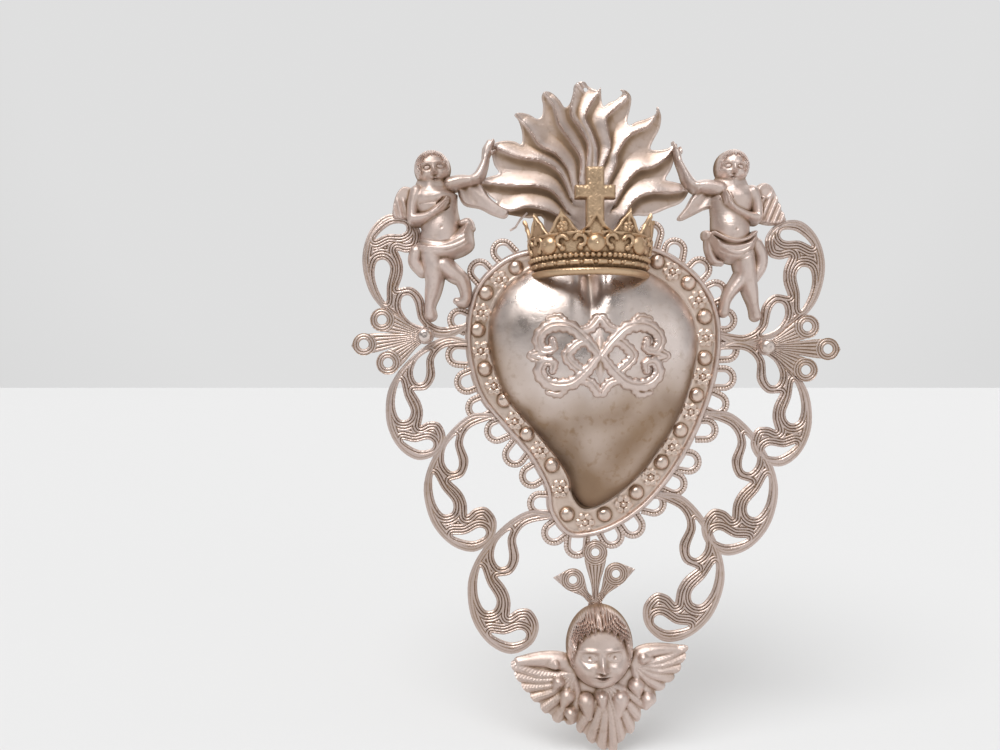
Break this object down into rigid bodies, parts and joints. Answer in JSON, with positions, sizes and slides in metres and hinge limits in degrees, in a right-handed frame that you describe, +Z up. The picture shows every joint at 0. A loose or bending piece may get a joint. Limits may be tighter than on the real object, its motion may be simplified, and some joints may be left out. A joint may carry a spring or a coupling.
{
  "type": "milagro charm",
  "caption": "Wall-hung votive heart in silver sheet with flames, gilt crown, putti, cherub's head and a pierced scroll frame.",
  "frame": {"origin": "centre of the nail hole in the middle flame, on the front face of the flame sheet", "axes": "+Z up, +X to the viewer's right, -Y towards the viewer"},
  "size_m": [0.1757, 0.0252, 0.2409],
  "materials": {
    "silver_sheet": "satin",
    "silver_relief": "satin",
    "warm_border": "satin",
    "gilt_brass": "satin",
    "silver_wire": "satin"
  },
  "bodies": {
    "root": {"boss_ornament": "silver_relief", "cherub": "silver_relief", "crown_band": "gilt_brass", "crown_beads": "gilt_brass", "crown_cross": "gilt_brass", "fixing_wire": "silver_wire", "flame_plate": "silver_sheet", "heart_border": "warm_border", "heart_boss": "silver_relief", "palmette_bottom": "silver_sheet", "palmette_left": "silver_sheet", "palmette_right": "silver_sheet", "putto_left": "silver_relief", "putto_right": "silver_relief", "rim_wire": "warm_border", "rivet_left": "silver_wire", "rivet_right": "silver_wire", "scallop_edging": "silver_wire", "scroll_bottom_left": "silver_sheet", "scroll_bottom_right": "silver_sheet", "scroll_lower_left": "silver_sheet", "scroll_lower_right": "silver_sheet", "scroll_middle_left": "silver_sheet", "scroll_middle_right": "silver_sheet", "scroll_upper_left": "silver_sheet", "scroll_upper_right": "silver_sheet"}
  },
  "joints": []
}
